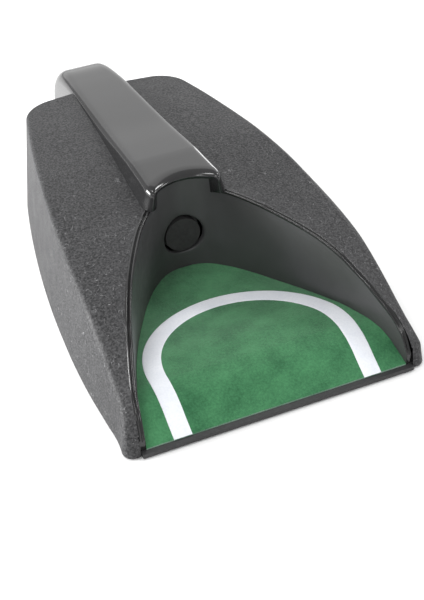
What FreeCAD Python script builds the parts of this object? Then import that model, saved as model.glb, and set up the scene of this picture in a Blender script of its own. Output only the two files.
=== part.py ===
import FreeCAD, Part
import math
import os
import re

import Sketcher

V = FreeCAD.Vector
SHEET = "Dimensions"

# Driving dimensions, in mm and degrees.  Lengths along the object are measured from its front edge,
# heights from the underside of the base.
DIMENSIONS = {
    # whole object
    "overall_length": 303.0,
    "foot_stand": 0.8,
    "wall": 2.5,
    "gap": 0.1,
    "overcut": 5.0,
    # housing outline at the base
    "half_width": 82.0,
    "front_corner": 5.5,
    "front_lip": 3.0,
    "lip_half": 73.0,
    "lip_height": 2.2,
    "lip_root": 0.9,
    "rear_corner": 26.0,
    "bow_start": 30.0,
    "bow_radius": 900.0,
    "rear_wall": 258.0,
    "draft": 7.0,
    "housing_height": 74.0,
    "tail_lap": 1.5,
    "tail_opening_height": 45.0,
    # mouth
    "mouth_depth": 122.0,
    "rim": 2.8,
    "ridge_lift": 0.4,
    "ring_behind": 8.0,
    # hood
    "hood_front": 108.0,
    "hood_half_front": 21.6,
    "hood_half_rear": 15.6,
    "hood_wall": 2.4,
    "hood_round": 4.0,
    "window_half": 11.6,
    "arch_depth": 4.5,
    "arch_foot": 58.8,
    "axis_height": 31.2,
    # base tray
    "plate": 2.5,
    "ramp_skin": 2.0,
    "rib": 1.8,
    "fit_gap": 0.15,
    "tongue_gap": 0.45,
    "land_length": 12.0,
    # felt
    "backing": 0.4,
    "felt": 1.3,
    "line_outer": 56.0,
    "line_width": 9.5,
    "line_centre": 30.0,
    # kicker
    "travel": 22.0,
    "pad_front": 120.9,
    "pad_radius": 10.0,
    "pad_thick": 5.0,
    "head_radius": 11.0,
    "head_thick": 9.0,
    "rod_radius": 2.5,
    "rod_start": 128.0,
    "rod_end": 249.0,
    "groove_depth": 0.5,
    "end_play": 0.05,
    "running_fit": 0.03,
    "spring_radius": 5.2,
    "wire_radius": 0.6,
    "spring_turns": 8.0,
    # chassis and bushes
    "front_upright": 172.0,
    "rear_upright": 236.0,
    "metal": 1.6,
    "chassis_half": 12.0,
    "chassis_top": 42.0,
    "pad_height": 4.0,
    "bush_radius": 4.5,
    "flange_radius": 6.5,
    "flange_thick": 1.4,
    "sleeve": 5.6,
    "washer_radius": 6.0,
    "washer_thick": 1.2,
    "clip_radius": 5.0,
    "clip_thick": 0.8,
    "clip_slot": 3.4,
    # screws and feet
    "screw_radius": 1.45,
    "screw_hole": 1.6,
    "screw_head_radius": 2.8,
    "screw_head": 1.0,
    "counterbore": 1.2,
    "screw_length": 11.0,
    "screw_play": 0.1,
    "head_play": 0.2,
    "cross_long": 3.2,
    "cross_wide": 0.7,
    "cross_deep": 0.5,
    "base_pilot": 14.0,
    "hood_pilot": 13.0,
    "hood_boss_height": 18.0,
    "chassis_pilot_start": 1.2,
    "boss_radius": 4.0,
    "small_boss": 3.2,
    "foot_radius": 5.0,
    "foot_recess": 1.2,
}

# Mouth wall in plan, its right half from the middle outward: half-width and distance from the front.
MOUTH = [
    (0.0, 122.0), (10.0, 119.5), (19.0, 113.0), (29.0, 101.2), (41.2, 80.4), (50.8, 60.6), (57.4, 44.6),
    (62.0, 31.6), (65.8, 20.4), (68.6, 10.2), (70.4, 0.0), (71.6, -9.0),
]
MOUTH_STEPS = 36
# How far the mouth's cutting outline runs out past the front.
MOUTH_REACH = 30.0
# Smallest corner left when an outline is drawn inset.
SMALLEST_CORNER = 1.0

# Ridge of the mouth wall: distance from the front and height.
RIDGE = [
    (-2.0, 1.0), (0.3, 8.4), (4.3, 17.6), (11.3, 24.1), (21.9, 31.0), (31.8, 37.0), (38.9, 40.7),
    (45.4, 44.2), (61.2, 49.6), (80.3, 53.1), (100.6, 56.4), (113.0, 58.4),
]

# Wing top: distance from the front, half-width and height of its inner edge, then of its outer edge.
WING_TOP = [
    (-6.0, 71.0, -2.0, 79.0, -5.0),
    (-2.7, 70.8, 6.2, 78.5, 4.0),
    (0.3, 70.3, 12.0, 77.5, 9.0),
    (4.3, 70.0, 18.2, 76.8, 14.0),
    (11.3, 68.8, 24.2, 76.6, 19.4),
    (21.9, 65.7, 30.6, 76.0, 26.0),
    (31.8, 62.4, 36.8, 76.0, 32.4),
    (45.4, 57.7, 43.6, 76.4, 40.2),
    (61.2, 50.8, 49.2, 76.0, 46.8),
    (80.3, 41.2, 52.6, 73.2, 50.6),
    (110.0, 20.1, 57.6, 69.2, 55.0),
    (134.0, 19.0, 59.0, 65.4, 59.0),
    (172.0, 18.0, 61.6, 58.6, 61.0),
    (212.0, 17.0, 62.6, 51.4, 61.2),
    (275.0, 15.0, 61.8, 38.0, 58.6),
]

# Roof of the hood, from its front to where it turns down behind the housing.
HOOD_ROOF = [(141.0, 71.2), (160.0, 69.9), (184.0, 68.2), (206.0, 67.2), (234.0, 66.0), (258.0, 64.8)]
HOOD_TAIL = [
    (270.0, 64.1), (280.0, 62.5), (287.0, 59.7), (293.0, 55.0), (298.0, 48.2), (301.2, 39.6),
    (302.6, 30.0), (302.9, 18.0),
]

# Felt surface along the centre line.
FELT_TOP = [
    (0.0, 2.7), (4.0, 5.0), (8.0, 7.4), (14.0, 11.2), (21.0, 14.1), (30.0, 15.5), (41.0, 15.4),
    (57.0, 13.9), (73.0, 12.2), (90.0, 10.6), (104.0, 10.1), (124.0, 10.0),
]

BASE_SCREWS = [(66.0, 62.0), (60.0, 135.0), (44.0, 222.0)]
HOOD_SCREWS = [(62.1, 46.0), (10.8, 284.0)]
CHASSIS_SCREWS = [(8.0, 182.0), (8.0, 226.0)]
FEET = [("front", 73.0, 20.0), ("rear", 43.0, 243.0)]
RIBS = [0.0, 24.0, 48.0]

doc = FreeCAD.newDocument("putting_cup")
sheet = doc.addObject("Spreadsheet::Sheet", SHEET)
for row, (alias, value) in enumerate(DIMENSIONS.items(), start=1):
    cell = "B%d" % row
    sheet.set("A%d" % row, alias)
    sheet.set(cell, repr(value))
    sheet.setAlias(cell, alias)
doc.recompute()


def dim(alias):
    """Value of one driving dimension."""
    return float(sheet.get(alias))


def ref(text):
    """Expression text in which every word names a cell of the sheet."""
    return re.sub(r"[a-z_]+", lambda word: SHEET + "." + word.group(), text)


FRONT = "overall_length * -0.5"
# Where the stop washer and the clip behind it stand on the rod.
WASHER_Y = "rear_upright + metal + flange_thick + end_play"
CLIP_Y = WASHER_Y + " + washer_thick"


def place(obj, x="0", y="0", z="0"):
    """Bind an object's position: x across, y from the front edge, z from the underside of the base."""
    obj.setExpression(".Placement.Base.x", ref(x))
    obj.setExpression(".Placement.Base.y", ref(FRONT + " + " + y))
    obj.setExpression(".Placement.Base.z", ref("foot_stand + " + z))


# ---------------------------------------------------------------- sketches and solids


def plane(body, role):
    for feature in body.Origin.OriginFeatures:
        if feature.Role == role:
            return feature
    raise ValueError(role)


def new_body(name):
    body = doc.addObject("PartDesign::Body", name)
    place(body)
    return body


def sketch_on(body, name, role, curves):
    sketch = body.newObject("Sketcher::SketchObject", name)
    sketch.AttachmentSupport = [(plane(body, role), "")]
    sketch.MapMode = "FlatFace"
    sketch.addGeometry(curves, False)
    doc.recompute()
    return sketch


def spline(points):
    curve = Part.BSplineCurve()
    curve.interpolate([V(p[0], p[1], 0) for p in points])
    return curve


def polyline(points):
    corners = [V(p[0], p[1], 0) for p in points]
    return [Part.LineSegment(a, b) for a, b in zip(corners, corners[1:])]


def arc_between(start, end, radius):
    """Arc turning left from start to end."""
    chord = end - start
    reach = math.sqrt(radius ** 2 - (chord.Length / 2) ** 2)
    normal = V(-chord.y, chord.x, 0).normalize()
    centre = (start + end) * 0.5 + normal * reach
    first = math.atan2(start.y - centre.y, start.x - centre.x)
    last = math.atan2(end.y - centre.y, end.x - centre.x)
    if last < first:
        last += 2 * math.pi
    return Part.ArcOfCircle(Part.Circle(centre, V(0, 0, 1), radius), first, last)


def outline_curves(inset):
    """Housing outline: flat front, rounded corners, bowed sides that close in toward the rear."""
    side = dim("half_width") - inset
    corner = max(dim("front_corner") - inset, SMALLEST_CORNER)
    bow = dim("bow_radius") - inset
    rear = dim("rear_wall") - inset
    rear_corner = max(dim("rear_corner") - inset, SMALLEST_CORNER)
    front = inset - dim("front_lip")
    start = dim("bow_start")
    centre_x = side - bow
    corner_y = rear - rear_corner
    corner_x = centre_x + math.sqrt((bow - rear_corner) ** 2 - (corner_y - start) ** 2)
    scale = bow / (bow - rear_corner)
    touch = V(centre_x + (corner_x - centre_x) * scale, start + (corner_y - start) * scale, 0)
    a = V(side - corner, front, 0)
    b = V(side, front + corner, 0)
    c = V(side, start, 0)
    d = V(corner_x, rear, 0)
    right = [a, b, c, touch, d]
    left = [V(-p.x, p.y, 0) for p in right]
    return [
        Part.LineSegment(left[0], a),
        arc_between(a, b, corner),
        Part.LineSegment(b, c),
        arc_between(c, touch, bow),
        arc_between(touch, d, rear_corner),
        Part.LineSegment(d, left[4]),
        arc_between(left[4], left[3], rear_corner),
        arc_between(left[3], left[2], bow),
        Part.LineSegment(left[2], left[1]),
        arc_between(left[1], left[0], corner),
    ]


def mouth_edge(offset):
    """Points along the mouth wall moved outward by offset, from right to left."""
    right = [(-x, y) for x, y in MOUTH]
    base = spline(right[:0:-1] + [(x, y) for x, y in MOUTH])
    points = []
    for step in range(MOUTH_STEPS + 1):
        at = base.FirstParameter + (base.LastParameter - base.FirstParameter) * step / MOUTH_STEPS
        point, along = base.value(at), base.tangent(at)[0]
        points.append((point.x - along.y * offset, point.y + along.x * offset))
    return points


def mouth_curves(offset):
    """Closed outline of the mouth, moved outward by offset and running out past the front."""
    points = mouth_edge(offset)
    first, last = points[0], points[-1]
    return [spline(points)] + polyline([last, (last[0], -MOUTH_REACH), (first[0], -MOUTH_REACH), first])


def pad(body, sketch, length, taper=None, midplane=False):
    feature = body.newObject("PartDesign::Pad", sketch.Name + "_pad")
    feature.Profile = sketch
    feature.setExpression("Length", ref(length))
    feature.Midplane = midplane
    if taper:
        feature.setExpression("TaperAngle", ref(taper))
    sketch.Visibility = False
    doc.recompute()
    return feature


def boolean(kind, name, base, tool):
    obj = doc.addObject("Part::" + kind, name)
    obj.Base = base
    obj.Tool = tool
    doc.recompute()
    return obj


def fuse_all(name, parts):
    obj = doc.addObject("Part::MultiFuse", name)
    obj.Shapes = parts
    obj.Refine = False
    doc.recompute()
    return obj


def cylinder(name, radius, height, x="0", y="0", z="0", along_y=False):
    obj = doc.addObject("Part::Cylinder", name)
    obj.setExpression("Radius", ref(radius))
    obj.setExpression("Height", ref(height))
    if along_y:
        obj.Placement = FreeCAD.Placement(V(0, 0, 0), FreeCAD.Rotation(V(1, 0, 0), -90))
    place(obj, x, y, z)
    return obj


def box(name, width, length, height, x, y, z):
    """Box given by its sizes and its lower left front corner."""
    obj = doc.addObject("Part::Box", name)
    obj.setExpression("Length", ref(width))
    obj.setExpression("Width", ref(length))
    obj.setExpression("Height", ref(height))
    place(obj, x, y, z)
    return obj


def mirrored(points):
    return [(side * x, y) for x, y in points for side in (-1, 1)]


# ---------------------------------------------------------------- housing


def wing_top_solid(name, drop, back):
    """Everything under the wing tops: ruled between the inner and the outer edge of each wing."""
    inner, outer = [], []
    for y, in_x, in_z, out_x, out_z in WING_TOP:
        slope = (out_z - in_z) / (out_x - in_x)
        reach_in, reach_out = 6.0, 24.0
        inner.append(V(in_x - reach_in, y + back, in_z - reach_in * slope - drop))
        outer.append(V(out_x + reach_out, y + back, out_z + reach_out * slope - drop))
    stations = [row[0] for row in WING_TOP]
    span = stations[-1] - stations[0]
    params = [(y - stations[0]) / span for y in stations]
    depth = V(0, 0, -2 * dim("housing_height"))
    solids = []
    middle_rail = [V(0, p.y, p.z) for p in inner]
    rails = [middle_rail, inner, outer]
    edges = []
    for rail in rails:
        curve = Part.BSplineCurve()
        curve.interpolate(Points=rail, Parameters=params)
        edges.append(curve.toShape())
    for first, second in zip(edges, edges[1:]):
        half = Part.makeRuledSurface(first, second).extrude(depth)
        solids.append(half)
        solids.append(half.mirror(V(0, 0, 0), V(1, 0, 0)))
    whole = solids[0].fuse(solids[1:])
    obj = doc.addObject("Part::Feature", name)
    obj.Shape = whole
    place(obj)
    doc.recompute()
    return obj


def housing_block(name, inset, drop):
    """Solid block with the housing's outline, draft and wing tops."""
    body = new_body(name + "_plan")
    sketch = sketch_on(body, name + "_outline", "XY_Plane", outline_curves(inset))
    pad(body, sketch, "housing_height", "draft * -1")
    top = wing_top_solid(name + "_top", drop, 0.5 * drop)
    return boolean("Common", name, body, top)


def mouth_prism(name, offset):
    body = new_body(name)
    sketch = sketch_on(body, name + "_outline", "XY_Plane", mouth_curves(offset))
    pad(body, sketch, "housing_height * 3", midplane=True)
    return body


def profile_curves(top, floor, step=()):
    """Closed side profile: a smooth top line, an optional stepped rear, and a flat floor."""
    rear = [top[-1]] + list(step)
    rear.append((rear[-1][0], floor))
    return [spline(top)] + polyline(rear + [(top[0][0], floor), top[0]])


def side_block(name, curves, half):
    """Side profile padded across the object, half to each side."""
    body = new_body(name)
    sketch = sketch_on(body, name + "_profile", "YZ_Plane", curves)
    pad(body, sketch, half + " * 2", midplane=True)
    return body


def bosses(name, places, radius, height, bottom):
    parts = []
    for number, (x, y) in enumerate(mirrored(places), start=1):
        boss = cylinder("%s_%d" % (name, number), radius, height, repr(x), repr(y), bottom)
        parts.append(boss)
    return fuse_all(name, parts)


def wing_shell():
    outer = housing_block("outer_block", 0.0, 0.0)
    inner = housing_block("inner_block", dim("wall"), dim("wall"))
    hollow = boolean("Cut", "housing_hollow", outer, inner)
    posts = bosses("base_boss", BASE_SCREWS, "boss_radius", "housing_height", "plate + gap")
    posts_in = boolean("Common", "base_boss_trimmed", posts, outer)
    filled = boolean("Fuse", "housing_bossed", hollow, posts_in)
    pilots = bosses("base_pilots", BASE_SCREWS, "screw_hole", "base_pilot", "plate")
    drilled = boolean("Cut", "housing_drilled", filled, pilots)
    open_front = boolean("Cut", "housing_open", drilled, mouth_prism("mouth_cut", dim("rim") + dim("gap")))
    tail = box("tail_opening", "(hood_half_rear - tail_lap) * 2", "overcut * 4", "tail_opening_height + gap * 10",
               "tail_lap - hood_half_rear", "rear_wall - overcut * 3", "gap * -10")
    return boolean("Cut", "wing_shell", open_front, tail), outer


def hood_half(name, inset, radius):
    """Right half of the hood, its roof edge rounded, turned inward so that the hood narrows to the rear."""
    front = (dim("hood_front"), HOOD_ROOF[0][1])
    roof = [front] + HOOD_ROOF + HOOD_TAIL
    line = [(y - inset * (y > dim("rear_wall")), z - inset) for y, z in roof]
    body = doc.addObject("PartDesign::Body", name)
    sketch = sketch_on(body, name + "_profile", "YZ_Plane", profile_curves(line, -inset))
    pad(body, sketch, "hood_half_front" + (" - hood_wall" if inset else ""))
    length = dim("overall_length") - dim("hood_front")
    turn = math.degrees(math.asin((dim("hood_half_front") - dim("hood_half_rear")) / length))
    pivot = V(0, dim("hood_front"), 0)
    corner = V(0, dim("overall_length") * -0.5, dim("foot_stand"))
    edges = []
    for number, edge in enumerate(body.Shape.Edges, start=1):
        outer = abs(edge.CenterOfMass.x) > 1.0
        if outer and edge.Length > length and edge.Curve.TypeId == "Part::GeomBSplineCurve":
            edges.append((number, radius, radius))
    body.Placement = FreeCAD.Placement(corner, FreeCAD.Rotation(V(0, 0, 1), turn), pivot)
    rounded = doc.addObject("Part::Fillet", name + "_round")
    rounded.Base = body
    rounded.Edges = edges
    side = box(name + "_side", "overall_length", "overall_length * 2", "overall_length", "0", "0", "-50")
    return boolean("Common", name + "_right", rounded, side)


def hood_solid(name, inset, radius):
    right = hood_half(name, inset, radius)
    left = doc.addObject("Part::Mirroring", name + "_left")
    left.Source = right
    left.Base = V(0, 0, 0)
    left.Normal = V(1, 0, 0)
    doc.recompute()
    return fuse_all(name + "_both", [left, right])


def hood_throat(core):
    """Mouth wall, arch and hood in one moulding."""
    ridge = [(y, z + dim("ridge_lift")) for y, z in RIDGE]
    roof = HOOD_ROOF[0][1]
    floor = dim("plate") + dim("gap")
    wall = boolean("Cut", "throat_wall", mouth_prism("throat_outer", dim("rim")), mouth_prism("throat_inner", 0.0))
    behind = dim("mouth_depth") + dim("ring_behind")
    limits = side_block("throat_side", profile_curves(ridge, floor, [(ridge[-1][0], roof), (behind, roof)]),
                        "half_width")
    low = boolean("Common", "throat_low", wall, limits)
    front = box("front_limit", "overall_length", "overall_length", "overall_length",
                "overall_length * -0.5", "0", "-50")
    ring = boolean("Common", "throat_ring", low, front)
    outer = hood_solid("hood_outer", 0.0, dim("hood_round"))
    inner = hood_solid("hood_inner", dim("hood_wall"), dim("hood_round") - dim("hood_wall"))
    faced = boolean("Cut", "hood_faced", outer, mouth_prism("hood_front_cut", 0.0))
    arch = boolean("Common", "hood_arch", faced, ring)
    hollow = boolean("Cut", "hood_hollow", faced, inner)
    cap = boolean("Cut", "hood_cap", hollow, core)
    above = box("above_wings", "hood_half_front * 4", "overcut * 6", "overcut * 8", "hood_half_front * -2",
                "hood_front + arch_depth", "arch_foot")
    low_ring = boolean("Cut", "throat_below_arch", ring, above)
    posts = bosses("hood_bosses", HOOD_SCREWS, "small_boss", "hood_boss_height", "plate + gap")
    whole = fuse_all("hood_whole", [low_ring, arch, cap, posts])
    pilots = bosses("hood_pilots", HOOD_SCREWS, "screw_hole", "hood_pilot", "plate")
    drilled = boolean("Cut", "hood_drilled", whole, pilots)
    window = cylinder("kick_window", "window_half", "ring_behind * 3", "0", "mouth_depth - ring_behind * 1.75",
                      "axis_height", True)
    return boolean("Cut", "hood_throat", drilled, window)


# ---------------------------------------------------------------- base and felt


def lowered(points, drop):
    return [(y, z - drop) for y, z in points]


def ramp_solid(name, drop, inset, start):
    """Everything under the felt line lowered by drop, inside the mouth, from start to the rear."""
    block = side_block(name + "_side", profile_curves(lowered(FELT_TOP, drop), -20.0), "half_width")
    inside = boolean("Common", name + "_mouth", block, mouth_prism(name + "_prism", -inset))
    limit = box(name + "_limit", "overall_length", "overall_length", "overall_length",
                "overall_length * -0.5", start, "0")
    return boolean("Common", name, inside, limit)


def base_tray():
    """Underside plate with the hollow ramp that carries the felt."""
    inset = dim("wall") + dim("fit_gap")
    body = new_body("plate_plan")
    pad(body, sketch_on(body, "plate_outline", "XY_Plane", outline_curves(inset)), "plate", "draft * -1")
    tongue = box("plate_tail", "(hood_half_rear - hood_wall - tongue_gap) * 2",
                 "overall_length - rear_wall - hood_wall + overcut - 1", "plate",
                 "(hood_half_rear - hood_wall - tongue_gap) * -1", "rear_wall - overcut + 0.5", "0")
    flat = fuse_all("plate_flat", [body, tongue])
    opened = boolean("Cut", "plate_open", flat, mouth_prism("plate_mouth", -dim("fit_gap")))
    cover = dim("backing") + dim("felt")
    solid = ramp_solid("ramp_outer", cover, dim("fit_gap"), "0")
    skin = dim("ramp_skin")
    hollow = ramp_solid("ramp_inner", cover + skin, dim("fit_gap") + skin, "ramp_skin * 2")
    shell = boolean("Cut", "ramp_shell", solid, hollow)
    strips = []
    for number, x in enumerate(sorted({-r for r in RIBS} | set(RIBS)), start=1):
        strips.append(box("rib_strip_%d" % number, "rib", "mouth_depth", "housing_height", "%r - rib * 0.5" % x, "0",
                          "0"))
    ribs = boolean("Common", "ramp_ribs", fuse_all("rib_strips", strips), solid)
    lands = []
    for name, y in (("front", "front_upright + 4"), ("rear", "rear_upright - 16")):
        lands.append(box("land_" + name, "chassis_half * 2", "land_length", "pad_height + plate * 0.2",
                         "chassis_half * -1", y, "plate * 0.8"))
    lip = [
        box("front_lip_edge", "lip_half * 2", "front_lip - gap * 0.5", "lip_height", "lip_half * -1", "front_lip * -1",
            "0"),
        box("front_lip_root", "lip_half * 2", "front_lip + 1", "lip_root", "lip_half * -1", "front_lip * -1", "0"),
    ]
    whole = fuse_all("tray_whole", [opened, shell, ribs] + lands + lip)
    cuts = [
        bosses("base_through", BASE_SCREWS + HOOD_SCREWS, "screw_hole + screw_play", "overcut * 4", "overcut * -1"),
        bosses("base_sink", BASE_SCREWS + HOOD_SCREWS, "screw_head_radius + head_play", "counterbore + overcut",
               "overcut * -1"),
        bosses("chassis_pilots", CHASSIS_SCREWS, "screw_hole", "overcut * 4", "chassis_pilot_start"),
        bosses("foot_sink", [(x, y) for _, x, y in FEET], "foot_radius + gap * 0.5", "foot_recess + overcut",
               "overcut * -1"),
    ]
    return boolean("Cut", "base_tray", whole, fuse_all("tray_cuts", cuts))


def felt_layers():
    """Backing sheet, green felt and the white arch let into it."""
    backing, felt = dim("backing"), dim("felt")
    margin = dim("fit_gap")
    top = ramp_solid("felt_top", 0.0, margin, "0")
    middle = ramp_solid("felt_middle", felt, margin - 0.1, "0")
    low = ramp_solid("felt_low", felt + backing, margin - 0.1, "0")
    middle_fit = ramp_solid("felt_middle_fit", felt, margin, "0")
    sheet_solid = boolean("Cut", "felt_sheet", top, middle)
    backing_solid = boolean("Cut", "felt_backing", middle_fit, low)
    outer, inner = dim("line_outer"), dim("line_outer") - dim("line_width")
    centre = dim("line_centre")
    front = -dim("overcut")
    body = new_body("arch_plan")
    curves = [
        Part.ArcOfCircle(Part.Circle(V(0, centre, 0), V(0, 0, 1), outer), 0, math.pi),
        Part.ArcOfCircle(Part.Circle(V(0, centre, 0), V(0, 0, 1), inner), 0, math.pi),
    ]
    for side in (-1, 1):
        legs = [(side * outer, centre), (side * outer, front), (side * inner, front), (side * inner, centre)]
        curves += polyline(legs)
    pad(body, sketch_on(body, "arch_outline", "XY_Plane", curves), "housing_height")
    return [
        backing_solid,
        boolean("Cut", "felt_green", sheet_solid, body),
        boolean("Common", "arch_line", sheet_solid, body),
    ]


# ---------------------------------------------------------------- kicker


def ring_y(name, outer, bore, length, y):
    """Sleeve or washer round the kicker's axis."""
    solid = cylinder(name + "_outer", outer, length, "0", y, "axis_height", True)
    hole = cylinder(name + "_bore", bore, length + " + overcut * 2", "0", y + " - overcut", "axis_height", True)
    return boolean("Cut", name, solid, hole)


def flanged_bush(name, flange_y, body_y, body_length):
    flange = cylinder(name + "_flange", "flange_radius", "flange_thick", "0", flange_y, "axis_height", True)
    sleeve = cylinder(name + "_sleeve", "bush_radius", body_length, "0", body_y, "axis_height", True)
    bore = cylinder(name + "_bore", "rod_radius + running_fit", "overcut * 6", "0", body_y + " - overcut * 2",
                    "axis_height", True)
    return boolean("Cut", name, fuse_all(name + "_blank", [flange, sleeve]), bore)


def kick_rod():
    rod = cylinder("rod_bar", "rod_radius", "rod_end - rod_start", "0", "rod_start", "axis_height", True)
    groove = ring_y("rod_groove", "rod_radius + 1", "rod_radius - groove_depth", "clip_thick + gap",
                    CLIP_Y + " - gap * 0.5")
    return boolean("Cut", "kick_rod", rod, groove)


def retaining_clip():
    ring = ring_y("clip_ring", "clip_radius", "rod_radius - groove_depth + gap * 0.5", "clip_thick", CLIP_Y)
    slot = box("clip_gap", "clip_slot", "overcut", "overcut * 2", "clip_slot * -0.5", CLIP_Y + " - 1",
               "axis_height - overcut * 2")
    return boolean("Cut", "retaining_clip", ring, slot)


def kick_head():
    body = cylinder("head_body", "head_radius", "head_thick", "0", "pad_front + pad_thick", "axis_height", True)
    socket = cylinder("head_socket", "rod_radius", "head_thick * 2", "0", "rod_start", "axis_height", True)
    return boolean("Cut", "kick_head", body, socket)


def kick_spring():
    """Round wire wound between the head and the front bush."""
    start = dim("pad_front") + dim("pad_thick") + dim("head_thick")
    length = dim("front_upright") - dim("flange_thick") - start
    wire = dim("wire_radius")
    rise = length - 2 * wire - 2 * dim("gap")
    helix = Part.makeHelix(rise / dim("spring_turns"), rise, dim("spring_radius"))
    centre = V(dim("spring_radius"), 0, 0)
    ring = Part.Wire(Part.makeCircle(wire, centre, V(0, 1, 0)))
    coil = Part.Wire(helix.Edges).makePipeShell([ring], True, True)
    obj = doc.addObject("Part::Feature", "kick_spring")
    obj.Shape = coil
    y = dim("overall_length") * -0.5 + start + wire + dim("gap")
    z = dim("foot_stand") + dim("axis_height")
    obj.Placement = FreeCAD.Placement(V(0, y, z), FreeCAD.Rotation(V(1, 0, 0), -90))
    return obj


def chassis():
    """Bent steel bracket that carries both bushes."""
    width, low = "chassis_half * 2", "plate + pad_height"
    left = "chassis_half * -1"
    parts = [box("chassis_strip", width, "rear_upright - front_upright + metal", "metal", left, "front_upright", low)]
    for name in ("front", "rear"):
        parts.append(box("chassis_" + name, width, "metal", "chassis_top - plate - pad_height", left,
                         name + "_upright", low))
    through = cylinder("chassis_bores", "bush_radius", "overall_length", "0", "100", "axis_height", True)
    holes = bosses("chassis_holes", CHASSIS_SCREWS, "screw_hole + screw_play", "overcut * 4", "0")
    return boolean("Cut", "chassis", fuse_all("chassis_blank", parts), fuse_all("chassis_cuts", [through, holes]))


# ---------------------------------------------------------------- fasteners and feet


def screws(name, places, head_z, shank_z, shank, cross_z):
    """Cross-headed screws, all alike."""
    heads = bosses(name + "_head", places, "screw_head_radius", "screw_head", head_z)
    shanks = bosses(name + "_shank", places, "screw_radius", shank, shank_z)
    crosses = []
    for number, (x, y) in enumerate(mirrored(places), start=1):
        for kind, wide, long in (("a", "cross_long", "cross_wide"), ("b", "cross_wide", "cross_long")):
            crosses.append(box("%s_cross_%s%d" % (name, kind, number), wide, long, "cross_deep + gap",
                               "%r - %s * 0.5" % (x, wide), "%r - %s * 0.5" % (y, long), cross_z))
    return boolean("Cut", name, fuse_all(name + "_blank", [heads, shanks]), fuse_all(name + "_crosses", crosses))


def feet():
    made = []
    for end, x, y in FEET:
        for side, sign in (("left", -1), ("right", 1)):
            made.append(cylinder("foot_%s_%s" % (end, side), "foot_radius", "foot_stand + foot_recess",
                                 repr(sign * x), repr(y), "foot_stand * -1"))
    return made


shell, core = wing_shell()
pieces = [shell, hood_throat(core), base_tray()]
pieces += felt_layers()
pieces.append(cylinder("kick_pad", "pad_radius", "pad_thick", "0", "pad_front", "axis_height", True))
pieces += [kick_head(), kick_rod(), kick_spring(), chassis()]
pieces.append(flanged_bush("front_bush", "front_upright - flange_thick", "front_upright - flange_thick",
                           "flange_thick + sleeve"))
pieces.append(flanged_bush("rear_bush", "rear_upright + metal", "rear_upright + metal - sleeve",
                           "flange_thick + sleeve"))
pieces.append(ring_y("stop_washer", "washer_radius", "rod_radius", "washer_thick", WASHER_Y))
pieces.append(retaining_clip())
pieces.append(screws("chassis_screws", CHASSIS_SCREWS, "plate + pad_height + metal", "chassis_pilot_start + gap * 4",
                     "plate + pad_height", "plate + pad_height + metal + screw_head - cross_deep"))
for name, spots in (("base_screws", BASE_SCREWS), ("hood_screws", HOOD_SCREWS)):
    pieces.append(screws(name, spots, "counterbore - screw_head", "counterbore - gap * 2", "screw_length",
                         "counterbore - screw_head - gap"))
pieces += feet()
doc.recompute()

for obj in doc.Objects:
    if "Invalid" in obj.State or "Error" in obj.State:
        raise RuntimeError("feature failed: %s %s" % (obj.Name, obj.State))
os.makedirs("parts", exist_ok=True)
for obj in pieces:
    obj.Label = obj.Name
    if obj.Shape.isNull() or not obj.Shape.isValid():
        raise RuntimeError("bad shape: " + obj.Name)
    obj.Shape.exportStep("parts/%s.step" % obj.Name)
    bounds = obj.Shape.BoundBox
    print("%-18s solids %d volume %10.1f  x %7.2f %7.2f  y %8.2f %8.2f  z %6.2f %6.2f" % (
        obj.Name, len(obj.Shape.Solids), obj.Shape.Volume, bounds.XMin, bounds.XMax, bounds.YMin, bounds.YMax,
        bounds.ZMin, bounds.ZMax))
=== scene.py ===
import math

import bmesh
import bpy
import numpy as np
from mathutils import Matrix, Vector


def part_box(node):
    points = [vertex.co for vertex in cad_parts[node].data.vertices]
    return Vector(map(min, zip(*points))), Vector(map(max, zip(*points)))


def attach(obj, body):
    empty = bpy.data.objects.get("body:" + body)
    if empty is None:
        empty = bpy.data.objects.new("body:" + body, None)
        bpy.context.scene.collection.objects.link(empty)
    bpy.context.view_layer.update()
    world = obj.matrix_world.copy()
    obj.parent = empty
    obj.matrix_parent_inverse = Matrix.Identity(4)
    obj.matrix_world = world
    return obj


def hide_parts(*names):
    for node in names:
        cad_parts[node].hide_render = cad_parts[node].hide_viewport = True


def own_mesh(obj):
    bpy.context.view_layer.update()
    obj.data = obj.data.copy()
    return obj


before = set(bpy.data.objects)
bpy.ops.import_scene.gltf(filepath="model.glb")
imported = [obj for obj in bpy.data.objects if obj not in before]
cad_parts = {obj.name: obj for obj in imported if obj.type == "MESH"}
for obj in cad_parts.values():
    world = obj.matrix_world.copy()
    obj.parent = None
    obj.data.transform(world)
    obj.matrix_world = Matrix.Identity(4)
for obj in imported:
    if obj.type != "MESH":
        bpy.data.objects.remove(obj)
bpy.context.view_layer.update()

MM = 0.001
HOUSING = "housing"
# Lengths below are in millimetres: x from the middle, y from the felt's front edge, z from the floor.
FRONT_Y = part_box("hood_throat")[0][1] / MM
BASE_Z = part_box("wing_shell")[0][2] / MM
REAR_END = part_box("hood_throat")[1][1] / MM - FRONT_Y
HALF_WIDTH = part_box("wing_shell")[1][0] / MM
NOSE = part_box("base_tray")[0][1] / MM - FRONT_Y
REAR_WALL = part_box("wing_shell")[1][1] / MM - FRONT_Y
# Draft of the outer walls, and width of the ribbed rim along the mouth's ridge.
DRAFT = math.radians(7.0)
RIM = 2.8

# ------------------------------------------------------------------ curves


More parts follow.
